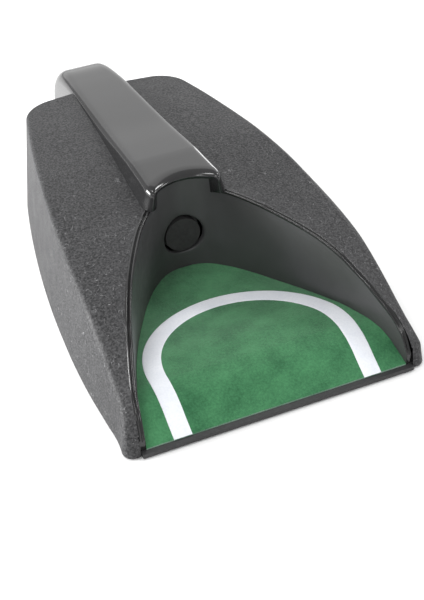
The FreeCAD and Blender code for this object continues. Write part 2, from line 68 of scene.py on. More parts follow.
def smooth(points):
    """Monotone cubic through (position, value) points, as a function of a position or an array."""
    x = np.array([p[0] for p in points], float)
    y = np.array([p[1] for p in points], float)
    step = np.diff(x)
    rise = np.diff(y) / step
    slope = np.zeros(len(x))
    slope[0], slope[-1] = rise[0], rise[-1]
    for i in range(1, len(x) - 1):
        if rise[i - 1] * rise[i] > 0:
            w1, w2 = 2 * step[i] + step[i - 1], step[i] + 2 * step[i - 1]
            slope[i] = (w1 + w2) / (w1 / rise[i - 1] + w2 / rise[i])

    def at(value):
        v = np.clip(np.asarray(value, float), x[0], x[-1])
        i = np.clip(np.searchsorted(x, v) - 1, 0, len(x) - 2)
        t = (v - x[i]) / step[i]
        a = (1 + 2 * t) * (1 - t) ** 2
        b = t * (1 - t) ** 2
        c = t * t * (3 - 2 * t)
        d = t * t * (t - 1)
        return a * y[i] + b * step[i] * slope[i] + c * y[i + 1] + d * step[i] * slope[i + 1]

    return at


def ease(value, low, high):
    """0 at low, 1 at high and level at both ends."""
    t = np.clip((np.asarray(value, float) - low) / (high - low), 0.0, 1.0)
    return t * t * (3 - 2 * t)


# Mouth wall in plan: distance from the front at each half-width.
MOUTH_END = 71.6
MOUTH = [(0.0, 122.0), (10.0, 119.5), (19.0, 113.0), (29.0, 101.2), (41.2, 80.4), (50.8, 60.6), (57.4, 44.6),
         (62.0, 31.6), (65.8, 20.4), (68.6, 10.2), (70.4, 0.0), (MOUTH_END, -9.0)]
mouth_y = smooth([(-x, y) for x, y in MOUTH[:0:-1]] + MOUTH)
mouth_x = smooth([(y, x) for x, y in MOUTH[::-1]])

# Heights above the floor of the mouth's ridge, by distance from the front.
ridge_z = smooth([(-2.0, 3.0), (0.0, 9.4), (4.3, 18.4), (11.3, 25.0), (21.9, 31.8), (31.8, 38.0),
                  (38.9, 41.6), (45.4, 45.0), (61.2, 50.5), (80.3, 54.1), (100.6, 57.3), (113.0, 59.2),
                  (122.0, 59.6)])
# Wing top: height beside the mouth or hood, height at the outer edge, and half-width of that edge.
wing_in_z = smooth([(-6.0, 1.0), (-2.7, 6.8), (0.0, 12.4), (4.3, 18.8), (11.3, 24.9), (21.9, 31.3),
                    (31.8, 37.4), (45.4, 44.4), (61.2, 50.0), (80.3, 53.5), (110.0, 58.4), (134.0, 59.9),
                    (172.0, 62.4), (212.0, 63.4), (258.0, 63.4)])
wing_out_z = smooth([(-6.0, 0.9), (-2.7, 5.4), (0.0, 10.4), (4.3, 15.8), (11.3, 21.4), (21.9, 27.6),
                     (31.8, 33.6), (45.4, 41.0), (61.2, 47.4), (80.3, 51.6), (110.0, 56.2), (134.0, 59.6),
                     (172.0, 62.0), (212.0, 62.2), (258.0, 61.0)])
WING_EDGE = [(0.0, 78.0), (30.0, 77.1), (60.0, 76.5), (110.0, 70.7), (170.0, 61.5), (212.0, 53.1),
             (258.0, 46.5)]
# Radius of the shoulder between wing top and outer wall, by distance from the front.
SHOULDER = [(-3.0, 2.0), (4.0, 3.6), (12.0, 5.0), (40.0, 5.4), (80.0, 4.0), (140.0, 2.4)]
# Felt's top surface over the ramp.
felt_z = smooth([(0.0, 3.4), (4.0, 5.8), (8.0, 8.2), (14.0, 12.0), (21.0, 14.9), (30.0, 16.3), (41.0, 16.2),
                 (57.0, 14.7), (73.0, 13.0), (90.0, 11.4), (104.0, 10.9), (124.0, 10.8)])
# Hood: half-width of the roof, flare of its sides at the wings, and roof points that end by turning down.
hood_half = smooth([(108.0, 21.6), (141.0, 20.6), (184.0, 19.2), (234.0, 17.7), (303.0, 15.6)])
hood_flare = smooth([(108.0, 1.9), (160.0, 1.7), (200.0, 0.9), (240.0, 0.2), (303.0, 0.0)])
HOOD_ROOF = [(118.0, 72.0), (141.0, 72.0), (160.0, 70.7), (184.0, 69.0), (206.0, 68.0), (234.0, 66.8),
             (258.0, 65.6), (270.0, 64.8), (280.0, 63.1), (287.0, 60.2), (293.0, 55.4), (298.0, 48.4),
             (301.0, 39.8), (302.4, 30.0), (302.8, 18.0), (302.9, 8.0)]
HOOD_CORNER = 4.8
HOOD_FRONT = 112.0
# Height over which the hood's sides lean out toward the wings.
FLARE_TOP, FLARE_FOOT = 68.0, 59.0
# Arch: front of its two posts, front of its lip in the middle, and how fast the lip curves forward sideways.
POST_Y = 111.6
LIP_MIDDLE = 119.8
LIP_CURVE = 0.0245
# Kick window in the mouth wall: height of its middle and radius.
WINDOW_Z = 32.0
WINDOW_R = 11.6
WALL_DEEP = 2.8
# How far the mouth wall reaches below the felt's top surface.
FELT_TUCK = 1.6


def mouth_path(offset, low, high, count):
    """Points and outward normals along the mouth wall moved outward by offset, between two half-widths."""
    x = np.linspace(low, high, count)
    y = mouth_y(x)
    slope = (mouth_y(x + 0.05) - mouth_y(x - 0.05)) / 0.1
    length = np.hypot(slope, 1.0)
    normal = np.stack([-slope / length, 1.0 / length], axis=1)
    return np.stack([x, y], axis=1) + normal * offset, normal


# ------------------------------------------------------------------ meshes


def grid_faces(rows, columns):
    """Corner numbers of the quads between rows of points."""
    faces = []
    for i in range(rows - 1):
        for j in range(columns - 1):
            a = i * columns + j
            faces.append((a, a + 1, a + 1 + columns, a + columns))
    return faces


def build(name, patches, materials, sharp=40.0, merge=0.02):
    """A mesh object from patches: (rows x columns x 3 in mm from the front edge, flip, material number)."""
    bm = bmesh.new()
    for points, flip, slot in patches:
        verts = []
        for p in points.reshape(-1, 3):
            verts.append(bm.verts.new((p[0] * MM, (p[1] + FRONT_Y) * MM, p[2] * MM)))
        for face in grid_faces(*points.shape[:2]):
            corners = [verts[k] for k in (face[::-1] if flip else face)]
            bm.faces.new(corners).material_index = slot
    bmesh.ops.remove_doubles(bm, verts=bm.verts, dist=merge * MM)
    flat = [f for f in bm.faces if f.calc_area() < 1e-11]
    bmesh.ops.delete(bm, geom=flat, context="FACES_ONLY")
    loose = [v for v in bm.verts if not v.link_faces]
    bmesh.ops.delete(bm, geom=loose, context="VERTS")
    mesh = bpy.data.meshes.new(name)
    bm.to_mesh(mesh)
    bm.free()
    mesh.set_sharp_from_angle(angle=math.radians(sharp))
    for polygon in mesh.polygons:
        polygon.use_smooth = True
    for material in materials:
        mesh.materials.append(material)
    obj = bpy.data.objects.new(name, mesh)
    bpy.context.scene.collection.objects.link(obj)
    return obj


def both_sides(patches):
    """The patches and their mirror images across the middle."""
    mirrored = []
    for points, flip, slot in patches:
        other = points.copy()
        other[..., 0] *= -1
        mirrored.append((other, not flip, slot))
    return patches + mirrored


# ------------------------------------------------------------------ materials


def shader(name):
    """A new node material with its tree and its Principled node."""
    material = bpy.data.materials.new(name)
    material.use_nodes = True
    tree = material.node_tree
    return material, tree, tree.nodes["Principled BSDF"]


def noise(tree, coords, scale, detail=3.0, rough=0.5):
    """Grey noise between 0 and 1, with scale in cells per metre."""
    node = tree.nodes.new("ShaderNodeTexNoise")
    node.inputs["Scale"].default_value = scale
    node.inputs["Detail"].default_value = detail
    node.inputs["Roughness"].default_value = rough
    tree.links.new(coords, node.inputs["Vector"])
    return node.outputs["Fac"]


def remap(tree, value, from_low, from_high, to_low, to_high):
    """The value moved from one range to another and held at its ends."""
    node = tree.nodes.new("ShaderNodeMapRange")
    node.inputs["From Min"].default_value = from_low
    node.inputs["From Max"].default_value = from_high
    node.inputs["To Min"].default_value = to_low
    node.inputs["To Max"].default_value = to_high
    tree.links.new(value, node.inputs["Value"])
    return node.outputs["Result"]


def ramp(tree, value, stops):
    """A colour for the value, from (place, colour) stops."""
    node = tree.nodes.new("ShaderNodeValToRGB")
    elements = node.color_ramp.elements
    while len(elements) < len(stops):
        elements.new(0.5)
    for element, (place, color) in zip(elements, stops):
        element.position = place
        element.color = (*color, 1.0)
    tree.links.new(value, node.inputs["Fac"])
    return node.outputs["Color"]


def maths(tree, operation, first, second=None):
    """One arithmetic node on sockets or numbers."""
    node = tree.nodes.new("ShaderNodeMath")
    node.operation = operation
    for socket, value in zip(node.inputs, (first, second)):
        if value is None:
            continue
        if isinstance(value, (int, float)):
            socket.default_value = value
        else:
            tree.links.new(value, socket)
    return node.outputs[0]


def bump(tree, shader_node, height, strength, distance):
    """Fine relief from a height socket, with distance in metres."""
    node = tree.nodes.new("ShaderNodeBump")
    node.inputs["Strength"].default_value = strength
    node.inputs["Distance"].default_value = distance
    tree.links.new(height, node.inputs["Height"])
    tree.links.new(node.outputs["Normal"], shader_node.inputs["Normal"])


def object_coords(tree):
    return tree.nodes.new("ShaderNodeTexCoord").outputs["Object"]


def warped(tree, coords, scale, amount):
    """Coordinates pushed about by noise, so that a pattern bends."""
    node = tree.nodes.new("ShaderNodeTexNoise")
    node.inputs["Scale"].default_value = scale
    tree.links.new(coords, node.inputs["Vector"])
    centred = tree.nodes.new("ShaderNodeVectorMath")
    centred.operation = "SUBTRACT"
    centred.inputs[1].default_value = (0.5, 0.5, 0.5)
    tree.links.new(node.outputs["Color"], centred.inputs[0])
    moved = tree.nodes.new("ShaderNodeVectorMath")
    moved.operation = "MULTIPLY_ADD"
    moved.inputs[1].default_value = (amount, amount, amount)
    tree.links.new(centred.outputs[0], moved.inputs[0])
    tree.links.new(coords, moved.inputs[2])
    return moved.outputs[0]


def hair_lines(tree, coords, scale, thin, keep):
    """Thin curled lines: the contour of a smooth noise, broken up by a second noise."""
    contour = maths(tree, "ABSOLUTE", maths(tree, "SUBTRACT", noise(tree, coords, scale, 0.0), 0.5))
    line = remap(tree, contour, 0.0, thin, 1.0, 0.0)
    broken = remap(tree, noise(tree, coords, scale * 1.7, 1.0), keep, keep + 0.05, 0.0, 1.0)
    return maths(tree, "MULTIPLY", line, broken)


def grain_with_painted_highlights():
    """Dark ABS with a moulded leather grain: pebbles and short curled creases, thicker toward the front, with
    painted highlights: the creases and the pebble tops are coloured lighter.
    """
    material, tree, node = shader("grain_with_painted_highlights")
    coords = object_coords(tree)
    bent = warped(tree, coords, 420.0, 0.0022)
    first = hair_lines(tree, bent, 210.0, 0.017, 0.52)
    second = hair_lines(tree, warped(tree, coords, 330.0, 0.005), 300.0, 0.016, 0.55)
    lines = maths(tree, "MAXIMUM", first, second)
    axes = tree.nodes.new("ShaderNodeSeparateXYZ")
    tree.links.new(coords, axes.inputs[0])
    forward = remap(tree, axes.outputs["Y"], 0.04, -0.07, 0.3, 1.0)
    worms = maths(tree, "MULTIPLY", lines, forward)
    pebbles = noise(tree, coords, 950.0, 2.0, 0.6)
    height = maths(tree, "ADD", maths(tree, "MULTIPLY", worms, 0.7), maths(tree, "MULTIPLY", pebbles, 0.5))
    bump(tree, node, height, 0.9, 0.0004)
    # Painted highlight: the higher pebbles and the creases get a lighter colour, standing in for light caught
    # by the grain.
    speck = remap(tree, pebbles, 0.38, 0.72, 0.0, 0.32)
    tone = maths(tree, "MAXIMUM", speck, worms)
    color = ramp(tree, tone, [(0.0, (0.013, 0.013, 0.014)), (1.0, (0.21, 0.21, 0.215))])
    tree.links.new(color, node.inputs["Base Color"])
    rough = remap(tree, noise(tree, coords, 90.0, 3.0), 0.3, 0.7, 0.5, 0.58)
    tree.links.new(rough, node.inputs["Roughness"])
    node.inputs["Specular IOR Level"].default_value = 0.28
    return material


def gloss_plastic(name, tone, low, high, wave):
    """Black ABS off a polished mould, with faint flow marks and fine haze."""
    material, tree, node = shader(name)
    coords = object_coords(tree)
    flow = noise(tree, coords, 30.0, 3.0)
    color = ramp(tree, flow, [(0.3, (tone, tone, tone)), (0.7, (tone * 1.3, tone * 1.3, tone * 1.35))])
    tree.links.new(color, node.inputs["Base Color"])
    rough = remap(tree, noise(tree, coords, 220.0, 4.0), 0.3, 0.7, low, high)
    tree.links.new(rough, node.inputs["Roughness"])
    bump(tree, node, noise(tree, coords, 1900.0, 2.0), wave, 0.0001)
    node.inputs["IOR"].default_value = 1.52
    return material


def felt_material(name, dark, light, fibre):
    """Short pressed felt: mottled colour, crossing fibres and a soft sheen."""
    material, tree, node = shader(name)
    coords = object_coords(tree)
    blotch = noise(tree, coords, 55.0, 4.0, 0.6)
    speck = noise(tree, coords, 900.0, 3.0, 0.7)
    mixed = maths(tree, "ADD", maths(tree, "MULTIPLY", blotch, 0.55), maths(tree, "MULTIPLY", speck, 0.45))
    color = ramp(tree, mixed, [(0.36, dark), (0.64, light)])
    tree.links.new(color, node.inputs["Base Color"])
    threads = noise(tree, warped(tree, coords, 500.0, 0.0018), 2200.0, 4.0, 0.8)
    bump(tree, node, threads, fibre, 0.0003)
    rough = remap(tree, speck, 0.3, 0.7, 0.82, 1.0)
    tree.links.new(rough, node.inputs["Roughness"])
    node.inputs["Sheen Weight"].default_value = 0.35
    node.inputs["Sheen Roughness"].default_value = 0.5
    node.inputs["Specular IOR Level"].default_value = 0.2
    return material


def plain_plastic(name, color, low, high, grain):
    """Plastic or rubber with faint cloudy colour, uneven roughness and a fine grain."""
    material, tree, node = shader(name)
    coords = object_coords(tree)
    lighter = tuple(min(1.0, c * 1.35) for c in color)
    tint = ramp(tree, noise(tree, coords, 140.0, 3.0), [(0.3, color), (0.7, lighter)])
    tree.links.new(tint, node.inputs["Base Color"])
    rough = remap(tree, noise(tree, coords, 600.0, 3.0), 0.3, 0.7, low, high)
    tree.links.new(rough, node.inputs["Roughness"])
    bump(tree, node, noise(tree, coords, 1800.0, 3.0), grain, 0.0002)
    return material


def metal(name, color, low, high, stretch):
    """Machined or drawn metal with fine lines across the given stretch."""
    material, tree, node = shader(name)
    coords = object_coords(tree)
    mapping = tree.nodes.new("ShaderNodeMapping")
    mapping.inputs["Scale"].default_value = stretch
    tree.links.new(coords, mapping.inputs["Vector"])
    lines = noise(tree, mapping.outputs["Vector"], 400.0, 4.0, 0.6)
    darker = tuple(c * 0.75 for c in color)
    tint = ramp(tree, noise(tree, coords, 120.0, 3.0), [(0.3, darker), (0.7, color)])
    tree.links.new(tint, node.inputs["Base Color"])
    rough = remap(tree, lines, 0.3, 0.7, low, high)
    tree.links.new(rough, node.inputs["Roughness"])
    bump(tree, node, lines, 0.15, 0.0001)
    node.inputs["Metallic"].default_value = 1.0
    return material


# ------------------------------------------------------------------ housing


def base_outline():
    """Right half of the housing's outline at its base with outward normals, from nose to rear middle."""
    nose_inner, corner, rear_corner, bow, start = 74.0, 5.5, 26.0, 900.0, 30.0
    points, normals = [], []
    for x in np.linspace(nose_inner, HALF_WIDTH - corner, 6)[:-1]:
        points.append((x, NOSE))
        normals.append((0.0, -1.0))
    for a in np.linspace(0.0, math.pi / 2, 16):
        normals.append((math.sin(a), -math.cos(a)))
        points.append((HALF_WIDTH - corner + corner * math.sin(a), NOSE + corner - corner * math.cos(a)))
    for y in np.linspace(NOSE + corner + 1.5, start, 18):
        points.append((HALF_WIDTH, y))
        normals.append((1.0, 0.0))
    centre = HALF_WIDTH - bow
    corner_y = REAR_WALL - rear_corner
    corner_x = centre + math.sqrt((bow - rear_corner) ** 2 - (corner_y - start) ** 2)
    end = math.atan2(corner_y - start, corner_x - centre)
    for a in np.linspace(0.0, end, 150)[1:]:
        points.append((centre + bow * math.cos(a), start + bow * math.sin(a)))
        normals.append((math.cos(a), math.sin(a)))
    for a in np.linspace(end, math.pi / 2, 18)[1:]:
        points.append((corner_x + rear_corner * math.cos(a), corner_y + rear_corner * math.sin(a)))
        normals.append((math.cos(a), math.sin(a)))
    return np.array(points), np.array(normals)


def inner_edge_x(y):
    """Half-width where the wing top meets the mouth's rim or the hood."""
    along, _ = mouth_path(RIM, 0.0, MOUTH_END, 400)
    order = np.argsort(along[:, 1])
    rim = np.interp(y, along[order, 1], along[order, 0])
    under_hood, arch = 1.2, 110.0
    beside_hood = hood_half(y) + hood_flare(y) - under_hood
    return np.where(np.asarray(y) > arch, beside_hood, np.maximum(rim, beside_hood))


def wing_height(x, y):
    """Height of the wing top, from its inner line to its outer line and a little beyond."""
    inner = inner_edge_x(y)
    outer = np.interp(y, *zip(*WING_EDGE))
    t = np.clip((x - inner) / np.maximum(outer - inner, 2.0), 0.0, 1.15)
    return wing_in_z(y) + (wing_out_z(y) - wing_in_z(y)) * t


def surface_normal(x, y):
    """Unit normal of the wing top."""
    step = 0.2
    dx = (wing_height(x + step, y) - wing_height(x - step, y)) / (2 * step)
    dy = (wing_height(x, y + step) - wing_height(x, y - step)) / (2 * step)
    normal = np.stack([-dx, -dy, np.ones_like(dx)], axis=-1)
    return normal / np.linalg.norm(normal, axis=-1, keepdims=True)


def turn(first, second, t):
    """Unit vectors between two arrays of unit vectors."""
    dot = np.clip(np.sum(first * second, axis=-1, keepdims=True), -1.0, 1.0)
    angle = np.maximum(np.arccos(dot), 1e-6)
    return (np.sin((1 - t) * angle) * first + np.sin(t * angle) * second) / np.sin(angle)


def shoulder_edge(outline, normals, radius):
    """Points where the wing top runs into the shoulder above the drafted wall, found by repeated trial."""
    first_inset, trials = 3.0, 12
    edge = outline - normals * first_inset
    for _ in range(trials):
        height = wing_height(edge[:, 0], edge[:, 1])
        wall = height - BASE_Z - radius + radius * math.sin(DRAFT)
        inset = radius * math.cos(DRAFT) + wall * math.tan(DRAFT)
        edge = outline - normals * inset[:, None]
    return edge


def wing_top(edge):
    """The wing's top surface, from its inner line to the shoulder's edge."""
    across = 26
    inner = inner_edge_x(edge[:, 1])
    top = np.zeros((len(edge), across, 3))
    for j, t in enumerate(np.linspace(0.0, 1.0, across)):
        x = inner + (edge[:, 0] - inner) * t
        top[:, j, 0] = x
        top[:, j, 1] = edge[:, 1]
        top[:, j, 2] = wing_height(x, edge[:, 1])
    return top


def wall_strip(top, normals, radius):
    """Rounded shoulder, drafted wall and foot round the outer column and the last row of the wing top."""
    back = top[-1, -2::-1]
    rim_points = np.concatenate([top[:, -1], back])
    rim_normals = np.concatenate([normals, np.tile([[0.0, 1.0]], (len(back), 1))])
    rim_radius = np.concatenate([radius, np.full(len(back), radius[-1])])[:, None]
    up = surface_normal(rim_points[:, 0], rim_points[:, 1])
    out = np.stack([rim_normals[:, 0] * math.cos(DRAFT), rim_normals[:, 1] * math.cos(DRAFT),
                    np.full(len(rim_normals), math.sin(DRAFT))], axis=1)
    centre = rim_points - rim_radius * up
    strip = [rim_points]
    for t in np.linspace(0.0, 1.0, 10)[1:]:
        strip.append(centre + rim_radius * turn(up, out, t))
    shoulder = strip[-1]
    down = np.stack([rim_normals[:, 0] * math.sin(DRAFT), rim_normals[:, 1] * math.sin(DRAFT),
                     np.full(len(rim_normals), -math.cos(DRAFT))], axis=1)
    foot_height = 0.5
    reach = (shoulder[:, 2] - BASE_Z - foot_height) / math.cos(DRAFT)
    for t in np.linspace(0.0, 1.0, 9)[1:]:
        strip.append(shoulder + down * (reach * t)[:, None])
    foot = strip[-1].copy()
    flat_normals = np.concatenate([rim_normals, np.zeros((len(rim_normals), 1))], axis=1)
    # (inset, height) round the foot, across the wall's lower edge and up inside it
    for inset, z in ((0.15, 0.15), (0.5, 0.0), (2.3, 0.0), (2.4, 3.0)):
        step = foot - flat_normals * inset
        step[:, 2] = BASE_Z + z
        strip.append(step)
    return np.array(strip).transpose(1, 0, 2)


def housing_patches():
    """Right half of the textured shell: wing top, shoulder and outer wall."""
    outline, normals = base_outline()
    radius = np.interp(outline[:, 1], *zip(*SHOULDER))
    top = wing_top(shoulder_edge(outline, normals, radius))
    return [(top, True, 0), (wall_strip(top, normals, radius), True, 0)]


# ------------------------------------------------------------------ hood and mouth


def arch_section(half, roof, corner, floor):
    """Inverted U in (x, z): left side up, over the roof, right side down."""
    arc = np.linspace(0.0, math.pi / 2, 9)
    side = np.concatenate([np.linspace(0.0, 0.12, 4), np.linspace(0.3, 1.0, 6)])
    left = [(-half, floor + (roof - corner - floor) * t) for t in side]
    left += [(-half + corner * (1 - math.cos(a)), roof - corner + corner * math.sin(a)) for a in arc[1:]]
    flat = [(-half + corner + (half - corner) * t, roof) for t in np.linspace(0.0, 1.0, 9)[1:]]
    right = [(-x, z) for x, z in (left + flat[:-1])[::-1]]
    return np.array(left + flat + right)


def rim_stations():
    """(inset from the outside, distance behind the lip's front line) round the arch's rolled front edge."""
    inner, middle, start, nose, back = 6.4, 3.5, 0.35, -2.2, 5.6
    stations = []
    for a in np.linspace(0.0, math.pi / 2, 9):
        stations.append((middle + (inner - middle) * math.cos(a), start + (nose - start) * math.sin(a)))
    for a in np.linspace(0.0, math.pi / 2, 14)[1:]:
        stations.append((middle * (1 - math.sin(a)), nose + (back - nose) * (1 - math.cos(a))))
    return stations


def lip_y(x):
    """Front line of the arch: a shallow curve over the opening that runs out on the posts."""
    return np.maximum(POST_Y, LIP_MIDDLE - LIP_CURVE * np.asarray(x) ** 2)


def flared(section, y):
    """Section with its sides leaning out toward the wings."""
    share = ease(section[:, 1], FLARE_TOP, FLARE_FOOT)
    section[:, 0] += np.sign(section[:, 0]) * share * hood_flare(y)
    return section


def arch_lip(front_half, front_roof, low):
    """Sections of the arch from the mouth wall, round its rolled lip and back onto the hood."""
    roof_share, narrowing, least_corner = 0.78, 0.6, 1.4
    wall_gap, flare_depth = 0.4, 8.0
    blend_foot, blend_top = 57.4, 59.4
    sections = []
    stations = rim_stations()
    for number, (inset, depth) in enumerate([stations[0]] + stations):
        rounding = max(HOOD_CORNER - narrowing * inset, least_corner)
        shape = arch_section(front_half - inset, front_roof - roof_share * inset, rounding, low)
        merge_in = ease(shape[:, 1], blend_foot, blend_top)
        proud = lip_y(shape[:, 0]) - mouth_y(shape[:, 0]) + depth
        if number == 0:
            proud = np.full(len(shape), wall_gap)
        y = mouth_y(shape[:, 0]) + np.where(proud < 0, proud * merge_in, proud)
        lean = ease(shape[:, 1], FLARE_TOP, FLARE_FOOT) * hood_flare(HOOD_FRONT) * (1 - inset / flare_depth)
        shape[:, 0] += np.sign(shape[:, 0]) * lean
        sections.append(np.stack([shape[:, 0], y, shape[:, 1]], axis=1))
    return sections


def arch_to_hood(front_half, front_roof, low, start):
    """Sections from the curved rear of the lip to the hood's first straight section."""
    straight = 128.0
    shape = flared(arch_section(front_half, front_roof, HOOD_CORNER, low), HOOD_FRONT)
    sections = []
    for share in np.linspace(0.0, 1.0, 9)[1:]:
        y = start + (straight - start) * share
        section = shape.copy()
        section[:, 0] *= 1 - share * (1 - float(hood_half(straight)) / front_half)
        sections.append(np.stack([section[:, 0], y, section[:, 1]], axis=1))
    return sections


def hood_spots(front_roof):
    """(y, z) along the middle of the roof, evenly spaced over the crest and down the tail."""
    outline = np.array(HOOD_ROOF[1:], float)
    run = np.concatenate([[0.0], np.cumsum(np.hypot(*np.diff(outline, axis=0).T))])
    along = smooth(list(zip(run, outline[:, 0])))
    up = smooth(list(zip(run, outline[:, 1])))
    spots = [(132.0, front_roof), (136.0, front_roof)]
    for r in np.linspace(0.0, run[-1], 100):
        spots.append((float(along(r)), float(up(r))))
    return spots


def hood_tail(front_roof):
    """Sections of the hood behind the arch, with rounder corners over the tail."""
    floor, wing_floor, wings_end = BASE_Z + 0.1, 55.0, 250.0
    end_radius, end_tuck, extra_corner, least_corner, least_side = 4.0, 1.3, 2.4, 0.3, 0.5
    crest_start, crest_end = 245.0, 285.0
    sections = []
    for y, z in hood_spots(front_roof):
        reach = np.clip((y - (REAR_END - end_radius)) / end_radius, 0.0, 1.0)
        half = float(hood_half(y)) - end_tuck * (1 - math.sqrt(1 - reach ** 2))
        corner = HOOD_CORNER + extra_corner * float(ease(y, crest_start, crest_end))
        rounding = min(corner, max(z - floor - least_side, least_corner))
        section = flared(arch_section(half, z, rounding, floor if y > wings_end else wing_floor), y)
        sections.append(np.stack([section[:, 0], np.full(len(section), y), section[:, 1]], axis=1))
    last = sections[-1].copy()
    last[:, 2] = floor
    return sections + [last]


def hood_patch():
    """The whole hood as one run of arch sections, from the mouth wall to the foot of the tail."""
    low = 56.0
    front_roof = HOOD_ROOF[0][1]
    front_half = float(hood_half(HOOD_FRONT))
    sections = arch_lip(front_half, front_roof, low)
    sections += arch_to_hood(front_half, front_roof, low, sections[-1][:, 1])
    sections += hood_tail(front_roof)
    return (np.array(sections), True, 0)


def window_patch(low, top, side):
    """The wall round the kick window, from inside the hole's edge out to a rectangle."""
    turns = np.linspace(0.0, 2 * math.pi, 97)
    rows = []
    # (extra radius, depth behind the wall) from the back of the hole round its edge
    edge = ((0.5, WALL_DEEP + 0.2), (0.0, WALL_DEEP), (0.0, 0.9), (0.12, 0.4), (0.4, 0.1), (0.9, 0.0))
    for extra, deep in edge:
        x = (WINDOW_R + extra) * np.cos(turns)
        rows.append(np.stack([x, mouth_y(x) + deep, WINDOW_Z + (WINDOW_R + extra) * np.sin(turns)], axis=1))
    rim = WINDOW_R + edge[-1][0]
    up = np.where(np.sin(turns) >= 0, top - WINDOW_Z, WINDOW_Z - low)
    tiny = 1e-6
    sideways = side / np.maximum(np.abs(np.cos(turns)), tiny)
    upward = up / np.maximum(np.abs(np.sin(turns)), tiny)
    reach = np.minimum(sideways, upward)
    for share in np.linspace(0.0, 1.0, 9)[1:]:
        radius = rim + (reach - rim) * share
        x = radius * np.cos(turns)
        rows.append(np.stack([x, mouth_y(x), WINDOW_Z + radius * np.sin(turns)], axis=1))
    return (np.array(rows), False, 1)


def wall_patch(first, last, count, top=None):
    """Strip of mouth wall up to the ridge, or from the ridge up to a given height."""
    x = np.linspace(first, last, count)
    y = mouth_y(x)
    ridge = ridge_z(y) - 1.2
    steep_ramp = 14.0
    if top is None:
        low, high = np.where(y < steep_ramp, BASE_Z + 0.1, felt_z(y) - FELT_TUCK), ridge
    else:
        low, high = ridge, np.full(count, top)
    rows = []
    for share in np.linspace(0.0, 1.0, 14):
        rows.append(np.stack([x, y, low + (high - low) * share], axis=1))
    return (np.array(rows), False, 1)


def bead_patch(first, last, count):
    """Two fine ribs with a groove between them along the mouth's ridge."""
    path, normal = mouth_path(0.0, first, last, count)
    ridge = ridge_z(mouth_y(np.linspace(first, last, count)))
    # (distance outward, height over the ridge)
    profile = [(0.0, -1.3), (-0.1, -0.9), (-0.18, -0.5), (-0.08, -0.1), (0.2, 0.12), (0.55, 0.14),
               (0.85, -0.1), (1.05, -0.5), (1.4, -0.62), (1.7, -0.4), (1.9, 0.0), (2.15, 0.28),
               (2.5, 0.32), (2.8, 0.12), (2.98, -0.3), (3.05, -2.5)]
    rows = []
    for offset, rise in profile:
        spot = path + normal * offset
        rows.append(np.stack([spot[:, 0], np.maximum(spot[:, 1], 0.0), ridge + rise], axis=1))
    return np.array(rows)


def mouth_patches():
    """Smooth mouth wall with its window, the ribbed ridge outside the arch, and end caps at the noses."""
    side, far, rim_start, post_end = 16.0, 70.42, 19.5, 19.8
    window_top, post_top = 68.0, 61.5
    low = float(felt_z(mouth_y(side))) - FELT_TUCK
    patches = [window_patch(low, window_top, side)]
    for sign in (-1, 1):
        ends = (sign * side, sign * far)
        patches.append(wall_patch(min(ends), max(ends), 130))
        rim = (sign * rim_start, sign * far)
        bead = bead_patch(min(rim), max(rim), 130)
        patches.append((bead, False, 0))
        line = bead[:, 0 if sign < 0 else -1]
        foot = line.copy()
        foot[:, 2] = BASE_Z + 0.1
        patches.append((np.array([line, foot]), sign < 0, 0))
        behind_post = (sign * side, sign * post_end)
        patches.append(wall_patch(min(behind_post), max(behind_post), 12, top=post_top))
    return patches


# ------------------------------------------------------------------ felt


def felt_patches(thickness, inset, front):
    """Sheet over the ramp: top, bottom, front edge and sides."""
    end = 121.0
    y = np.concatenate([np.linspace(front, 30.0, 60), np.linspace(30.0, 100.0, 80)[1:],
                        np.linspace(100.0, end, 40)[1:]])
    half = np.maximum(mouth_x(y) - inset, 0.3)
    across = np.linspace(-1.0, 1.0, 121)
    top = np.zeros((len(y), len(across), 3))
    top[..., 0] = half[:, None] * across
    top[..., 1] = y[:, None]
    top[..., 2] = felt_z(y)[:, None]
    bottom = top.copy()
    bottom[..., 2] -= thickness
    front_edge = np.array([top[0], bottom[0]])
    left_edge = np.array([bottom[:, 0], top[:, 0]])
    right_edge = np.array([top[:, -1], bottom[:, -1]])
    return [(top, False, 0), (bottom, True, 0), (front_edge, True, 1), (left_edge, False, 1),
            (right_edge, False, 1)]


def arch_line_patches():
    """White band let into the felt: two legs joined by a half circle."""
    outer, width, centre, start = 56.0, 9.5, 30.0, -0.02
    mid = outer - width / 2
    spine, side = [], []
    for y in np.linspace(start, centre, 40):
        spine.append((mid, y))
        side.append((1.0, 0.0))
    for a in np.linspace(0.0, math.pi, 160)[1:-1]:
        spine.append((mid * math.cos(a), centre + mid * math.sin(a)))
        side.append((math.cos(a), math.sin(a)))
    for y in np.linspace(centre, start, 40):
        spine.append((-mid, y))
        side.append((-1.0, 0.0))
    spine, side = np.array(spine), np.array(side)
    # (share of the half width, height over the felt)
    profile = [(-1.0, -1.2), (-1.0, 0.02), (-0.97, 0.12), (-0.9, 0.17), (-0.5, 0.2), (0.0, 0.21), (0.5, 0.2),
               (0.9, 0.17), (0.97, 0.12), (1.0, 0.02), (1.0, -1.2)]
    rows = []
    for across, rise in profile:
        place = spine + side * across * width / 2
        rows.append(np.stack([place[:, 0], place[:, 1], felt_z(place[:, 1]) + rise], axis=1))
    return [(np.array(rows), False, 0)]


# ------------------------------------------------------------------ spring


